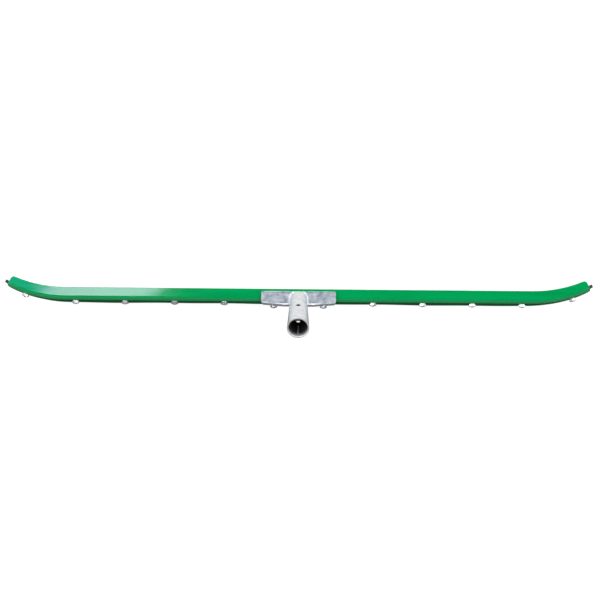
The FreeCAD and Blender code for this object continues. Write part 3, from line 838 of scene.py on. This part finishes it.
@dataclass
class SocketCasting:
    """The cast tee: a rimmed pad on the frame, a skirt behind it and a tapered handle tube."""

    line: HeadLine
    finish: CastAluminium = field(default_factory=CastAluminium)

    # The pad and the skirt; belly is how far the middle bulges back, end_rear how far the ends do.
    pad_high: float = 5.0 * MM
    end_rear: float = 9.0 * MM
    belly: float = 11.7 * MM
    belly_half: float = 22.0 * MM
    rim: float = 2.4 * MM
    panel_deep: float = 1.1 * MM
    corner: float = 3.0 * MM

    # The tube, which starts sunk in the pad and runs past the mouth until the mouth is faced.
    tilt: float = math.radians(54.5)
    foot: float = -2.0 * MM
    tube_long: float = 93.0 * MM
    sunk: float = 6.0 * MM
    spare: float = 2.0 * MM
    root_rad: float = 12.5 * MM
    mouth_rad: float = 16.6 * MM

    # The bore and the holes; reach is how far a cutting tool stands out past what it cuts.
    bore_rad: float = 14.3 * MM
    bore_end: float = 11.0 * MM
    land_long: float = 12.0 * MM
    bore_deep: float = 76.0 * MM
    mouth_bevel: float = 0.8 * MM
    pin_rad: float = 3.4 * MM
    pin_back: float = 45.0 * MM
    screw_hole: float = 2.6 * MM
    spot_rad: float = 6.8 * MM
    drill_half: float = 20.0 * MM
    reach: float = 30.0 * MM

    # The skin: how it is softened, how its dull tone fades towards the tube and above the pad, and the rim
    # and rear skirt edge made lighter as a painted highlight.
    voxel: float = 0.6 * MM
    soft_passes: int = 5
    root_passes: int = 45
    root_near: float = 7.0 * MM
    root_high: float = 14.0 * MM
    root_fade: float = 10.0 * MM
    grain: float = 0.10 * MM
    tone_fade: float = 4.0 * MM
    # The rim and the rear skirt edge keep this little of the dull tone, so they are lighter as a painted
    # highlight; the next two set how deep and how wide these bands are.
    highlight_dull_share: float = 0.30
    rim_deep: float = 0.4 * MM
    rear_highlight_band: float = 2.0 * MM
    # Band below the mouth left out of the bore's painted shade.
    unshaded_lip: float = 1.9 * MM

    # The bright ridge down the bore, a painted highlight, from its near end to its far end.
    ridge_near: float = 9.5 * MM
    ridge_far: float = 31.0 * MM
    ridge_size: tuple[float, float] = (2.4 * MM, 1.4 * MM)
    ridge_edge: float = 0.35 * MM
    ridge_steps: int = 6

    @property
    def lip(self) -> float:
        """Height of the pad's rim."""
        return self.line.top + self.pad_high

    @property
    def upright(self) -> Matrix:
        """Frame of the tube: its Z runs up the tube's axis from the foot."""
        return Matrix.Translation((0.0, self.foot, self.line.top)) @ Matrix.Rotation(
            math.pi / 2 - self.tilt, 4, "X"
        )

    def build(self) -> None:
        """Model the casting and the bright ridge in its bore, a painted highlight in place of a streak of
        light.
        """
        item = self._block()
        tube = Bench.cone("tube", self.root_rad, self.mouth_rad, -self.sunk, self.tube_long + self.spare, 96)
        Bench.seat(tube, self.upright)
        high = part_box("handle_socket")[1]
        trim = Bench.cube(
            "front_face", (-self.reach, high.y, 0.0), (self.reach, 2 * self.reach, high.z + self.reach)
        )
        Bench.carve(tube, trim)
        Bench.focus(item)
        tube.select_set(True)
        bpy.ops.object.join()
        item = bpy.context.object
        item.name = item.data.name = "socket_casting"
        Bench.modify(item, "REMESH", mode="VOXEL", voxel_size=self.voxel)
        self._soften(item)
        self._weather(item)
        self._cut(item)
        self._mark(item)
        Bench.smooth(item, 50.0)
        material = self.finish.material()
        hand_over(item, material, ("handle_socket",))
        # The ridge carries no marks, so it takes the bright tone: a painted highlight.
        hand_over(self._bright_ridge(), material)

    def _block(self) -> bpy.types.Object:
        """The pad and skirt as one block, its top sunk inside a rim."""
        low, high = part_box("handle_socket")
        half = high.x
        item = Bench.cube("casting_block", (-half, -self.belly, low.z), (half, high.y, self.lip))
        Bench.cuts(item, 0, (-self.belly_half, self.belly_half))
        for vertex in item.data.vertices:
            if abs(vertex.co.x) > half - MM and vertex.co.y < 0.0:
                vertex.co.y = -self.end_rear
        Bench.edit(
            item, "EDGE", lambda middle, along: abs(along.z) > SQUARE_ON and abs(middle.x) > half - MM
        )
        bpy.ops.mesh.bevel(offset=self.corner, segments=6, affect="EDGES")
        Bench.done()
        Bench.edit(item, "FACE", lambda middle, facing: facing.z > SQUARE_ON)
        bpy.ops.mesh.inset(thickness=self.rim, depth=0.0)
        bpy.ops.transform.translate(value=(0.0, 0.0, -self.panel_deep))
        Bench.done()
        return item

    def _soften(self, item: bpy.types.Object) -> None:
        """Round every edge as a casting's is, most where the tube grows out of the pad."""
        Bench.modify(item, "SMOOTH", factor=0.5, iterations=self.soft_passes)
        root = item.vertex_groups.new(name="root")
        inverse = self.upright.inverted()
        for vertex in item.data.vertices:
            local = inverse @ vertex.co
            off_axis = abs(math.hypot(local.x, local.y) - self.root_rad)
            near = max(0.0, 1.0 - off_axis / self.root_near)
            height = max(0.0, 1.0 - max(0.0, local.z - self.root_high) / self.root_fade)
            root.add([vertex.index], near * height, "REPLACE")
        Bench.modify(item, "SMOOTH", factor=0.5, iterations=self.root_passes, vertex_group="root")

    def _weather(self, item: bpy.types.Object) -> None:
        """Give the skin a casting's slow swell and its fine unevenness."""
        for name, scale, strength in (("swell", 14.0 * MM, 2.2), ("tumble", 3.0 * MM, 1.0)):
            texture = bpy.data.textures.new(name, "CLOUDS")
            texture.noise_scale = scale
            texture.noise_depth = 2
            Bench.modify(
                item, "DISPLACE", texture=texture, texture_coords="LOCAL", mid_level=0.5,
                strength=self.grain * strength,
            )

    def _cut(self, item: bpy.types.Object) -> None:
        """Cut the seat for the frame, the mouth, the bore and the holes for the screws."""
        line = self.line
        reach = self.reach
        mouth = self.tube_long
        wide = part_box("handle_socket")[1].x + reach
        Bench.carve(item, Bench.cube("seat", (-wide, -line.steel_back, 0.0), (wide, reach, line.top)))
        Bench.carve(item, self._seated(Bench.cone("mouth_face", reach, reach, mouth, mouth + reach, 64)))
        Bench.carve(item, self._seated(self._core()))
        pin = Bench.cone("pin_hole", self.pin_rad, self.pin_rad, -reach, reach, 40)
        across = Matrix.Translation((0.0, 0.0, mouth - self.pin_back)) @ Matrix.Rotation(math.pi / 2, 4, "X")
        Bench.seat(pin, self.upright @ across)
        Bench.carve(item, pin)
        for index in line.casting_screws:
            for name, radius, top in (
                ("screw_hole", self.screw_hole, self.drill_half),
                ("spot_face", self.spot_rad, -line.casting_back),
            ):
                drill = Bench.cone(name, radius, radius, -self.drill_half, top, 48)
                Bench.seat(drill, line.station(index))
                Bench.carve(item, drill)

    def _core(self) -> bpy.types.Object:
        """The shape of the bore: tapered, then straight to the mouth, with a bevelled rim."""
        mouth = self.tube_long
        bottom = mouth - self.bore_deep
        bevel = self.mouth_bevel
        item = Bench.cone("bore_core", self.bore_rad, self.bore_rad, bottom, mouth + bevel, 96)
        Bench.cuts(item, 2, (mouth - self.land_long, mouth - bevel))
        for vertex in item.data.vertices:
            grow = self._core_radius(vertex.co.z) / self.bore_rad
            vertex.co.x *= grow
            vertex.co.y *= grow
        return item

    def _core_radius(self, height: float) -> float:
        """Radius of the bore at a height along the tube's axis."""
        mouth = self.tube_long
        deep = mouth - height
        if deep < self.mouth_bevel:
            return self.bore_rad + self.mouth_bevel - deep
        past = max(0.0, deep - self.land_long)
        return self.bore_rad - past * (self.bore_rad - self.bore_end) / (self.bore_deep - self.land_long)

    def _mark(self, item: bpy.types.Object) -> None:
        """Mark the bore's wall for painted shade, and the dull tone: fading out towards the tube and above
        the pad, and mostly left off the rim and rear skirt edge as a painted highlight.
        """
        bore_shaded = item.data.attributes.new(BORE_SHADE_MARK, "FLOAT", "POINT")
        dull_share = item.data.attributes.new(DULL_MARK, "FLOAT", "POINT")
        inverse = self.upright.inverted()
        bottom = self.tube_long - self.bore_deep
        lip = self.lip
        for vertex in item.data.vertices:
            local = inverse @ vertex.co
            off_axis = math.hypot(local.x, local.y)
            deep = bottom - TOUCH < local.z < self.tube_long - self.unshaded_lip
            near = off_axis < self._core_radius(local.z) + TOUCH
            # Painted shade on the bore's wall, stopping short of the mouth.
            bore_shaded.data[vertex.index].value = 1.0 if deep and near else 0.0
            lift = max(0.0, vertex.co.z - lip) / self.tone_fade
            beside = (off_axis - self.root_rad) / self.tone_fade
            # Painted highlight: the rim and the rear skirt edge keep little of the dull tone.
            edge = vertex.co.z > lip - self.rim_deep or vertex.co.y < self.rear_highlight_band - self.belly
            kept = self.highlight_dull_share if edge else 1.0
            dull_share.data[vertex.index].value = max(0.0, min(1.0, beside)) * max(0.0, 1.0 - lift) * kept

    def _seated(self, tool: bpy.types.Object) -> bpy.types.Object:
        """Move a tool from the origin onto the tube's axis."""
        Bench.seat(tool, self.upright)
        return tool

    def _bright_ridge(self) -> bpy.types.Object:
        """A bright ridge along the lower wall of the bore, left without the bore's painted shade: a painted
        highlight in place of a streak of light.
        """
        near, far, steps = self.ridge_near, self.ridge_far, self.ridge_steps
        wide, proud = self.ridge_size
        item = Bench.cube("bore_bright_ridge", (-wide / 2, -proud, -far), (wide / 2, proud, -near))
        Bench.cuts(item, 2, [-far + (far - near) * step / steps for step in range(1, steps)])
        taper = (self.bore_rad - self.bore_end) / (self.bore_deep - self.land_long)
        for vertex in item.data.vertices:
            deep = max(0.0, -vertex.co.z - self.land_long)
            vertex.co.y += -(self.bore_rad - taper * deep)
            vertex.co.z += self.tube_long
        Bench.modify(item, "BEVEL", width=self.ridge_edge, segments=3, limit_method="ANGLE")
        Bench.smooth(item, 60.0)
        Bench.seat(item, self.upright)
        return item


# ---------------------------------------------------------------------------------------------
# Studio


@dataclass(frozen=True)
class Softbox:
    """One rectangular light, aimed at a point and turned about its beam by some degrees."""

    name: str
    place: Triple
    aim: Triple
    size: tuple[float, float]
    power: float
    turn: float = 0.0
    tint: Triple = (1.0, 1.0, 1.0)

    def hang(self) -> None:
        """Add the light."""
        data = bpy.data.lights.new(self.name, "AREA")
        data.shape = "RECTANGLE"
        data.size, data.size_y = self.size
        data.energy = self.power
        data.color = self.tint
        lamp = bpy.data.objects.new(self.name, data)
        bpy.context.scene.collection.objects.link(lamp)
        lamp.location = self.place
        look = Vector(self.aim) - Vector(self.place)
        aim = look.to_track_quat("-Z", "Y").to_matrix() @ Matrix.Rotation(math.radians(self.turn), 3, "Z")
        lamp.rotation_euler = aim.to_euler()


@dataclass(frozen=True)
class Surround:
    """The room's light by direction: bright in front, dim behind, dark straight up and down.

    Both lists pair a place with a strength. The first runs from straight behind, 0, to straight in
    front, 1. The second runs from the horizon, 0, to straight up or down, 1, and dims the first.
    """

    round_about: tuple[tuple[float, float], ...] = ((0.0, 0.50), (0.5, 0.55), (0.75, 1.00))
    up_or_down: tuple[tuple[float, float], ...] = ((0.0, 1.0), (0.7, 0.80), (0.88, 0.12), (0.97, 0.010))

    def world(self) -> bpy.types.World:
        """Build the room's light."""
        world = bpy.data.worlds.new("studio")
        world.use_nodes = True
        tree = world.node_tree
        place = tree.nodes.new("ShaderNodeTexCoord")
        axes = tree.nodes.new("ShaderNodeSeparateXYZ")
        tree.links.new(place.outputs["Generated"], axes.inputs["Vector"])
        height = tree.nodes.new("ShaderNodeMath")
        height.operation = "ABSOLUTE"
        tree.links.new(axes.outputs["Z"], height.inputs[0])
        facing = tree.nodes.new("ShaderNodeMapRange")
        facing.inputs["From Min"].default_value = -1.0
        tree.links.new(axes.outputs["Y"], facing.inputs["Value"])
        product = tree.nodes.new("ShaderNodeMath")
        product.operation = "MULTIPLY"
        for slot, source, stops in (
            (0, facing.outputs["Result"], self.round_about),
            (1, height.outputs["Value"], self.up_or_down),
        ):
            ramp = tree.nodes.new("ShaderNodeValToRGB")
            set_stops(ramp, [(at, (level, level, level)) for at, level in stops])
            tree.links.new(source, ramp.inputs["Fac"])
            tree.links.new(ramp.outputs["Color"], product.inputs[slot])
        tree.links.new(product.outputs["Value"], tree.nodes["Background"].inputs["Strength"])
        tree.nodes["Background"].inputs["Color"].default_value = (1.0, 1.0, 1.0, 1.0)
        return world


@dataclass
class Studio:
    """A pale floor, soft light and the camera."""

    azimuth: float = math.radians(1.564)
    elevation: float = math.radians(81.763)
    roll: float = math.radians(-1.038)
    distance: float = 1.9
    lens: float = 74.435
    target: Triple = (2.171 * MM, -2.871 * MM, 50.0 * MM)
    floor_half: float = 6.0
    wall_high: float = 5.0
    surround: Surround = Surround()
    boxes: tuple[Softbox, ...] = (
        Softbox(
            "left_gleam", (-0.695, 0.385, 2.5), (-0.695, 0.385, 0.0), (0.50, 0.23), 3.95,
            turn=35.0, tint=(0.79, 0.71, 1.0),
        ),
        Softbox(
            "left_end_glow", (-1.030, 0.385, 2.52), (-1.030, 0.385, 0.0), (0.30, 0.50), 1.15,
            tint=(0.05, 0.45, 1.0),
        ),
        Softbox("front_bank", (0.0, 2.0, 2.4), (0.0, 0.1, 0.0), (3.2, 1.3), 60.0),
        Softbox("left_bank", (-2.4, 0.0, 2.2), (0.0, 0.0, 0.0), (1.3, 2.4), 36.0),
        Softbox("right_bank", (2.4, 0.0, 2.2), (0.0, 0.0, 0.0), (1.3, 2.4), 36.0),
    )

    def build(self) -> None:
        """Lay the floor, hang the lights and set up the camera."""
        scene = bpy.context.scene
        scene.view_settings.view_transform = "Standard"
        self._floor()
        scene.world = self.surround.world()
        for box in self.boxes:
            box.hang()
        scene.camera = self._camera()

    def _floor(self) -> None:
        """The floor and a pale backdrop round it, both left out of the light on the object."""
        material = PaleFloor().material()
        Bench.clear()
        bpy.ops.mesh.primitive_plane_add(size=2 * self.floor_half)
        floor = bpy.context.object
        floor.name = floor.data.name = "studio_floor"
        wall = Bench.cone("studio_backdrop", self.floor_half, self.floor_half, -0.1, self.wall_high, 96)
        for item in (floor, wall):
            item.visible_diffuse = item.visible_glossy = item.visible_shadow = False
            item.data.materials.append(material)

    def _camera(self) -> bpy.types.Object:
        """The camera, looking down on the head from a little behind it."""
        data = bpy.data.cameras.new("camera")
        data.lens = self.lens
        data.clip_end = 50.0
        item = bpy.data.objects.new("camera", data)
        bpy.context.scene.collection.objects.link(item)
        level = math.cos(self.elevation)
        back = Vector((
            math.sin(self.azimuth) * level, -math.cos(self.azimuth) * level, math.sin(self.elevation)
        ))
        right = Vector((math.cos(self.azimuth), math.sin(self.azimuth), 0.0))
        above = back.cross(right)
        side = math.cos(self.roll) * right + math.sin(self.roll) * above
        up = back.cross(side)
        turn = Matrix((side, up, back)).transposed().to_4x4()
        item.matrix_world = Matrix.Translation(Vector(self.target) + back * self.distance) @ turn
        return item


def main() -> None:
    """Build the head piece by piece, then the studio."""
    logging.basicConfig(level=logging.INFO, format="%(message)s")
    line = HeadLine()
    SteelWork().dress()
    RubberBlade(line).build()
    Fasteners(line).build()
    SocketCasting(line).build()
    Studio().build()


if __name__ == "__main__":
    main()
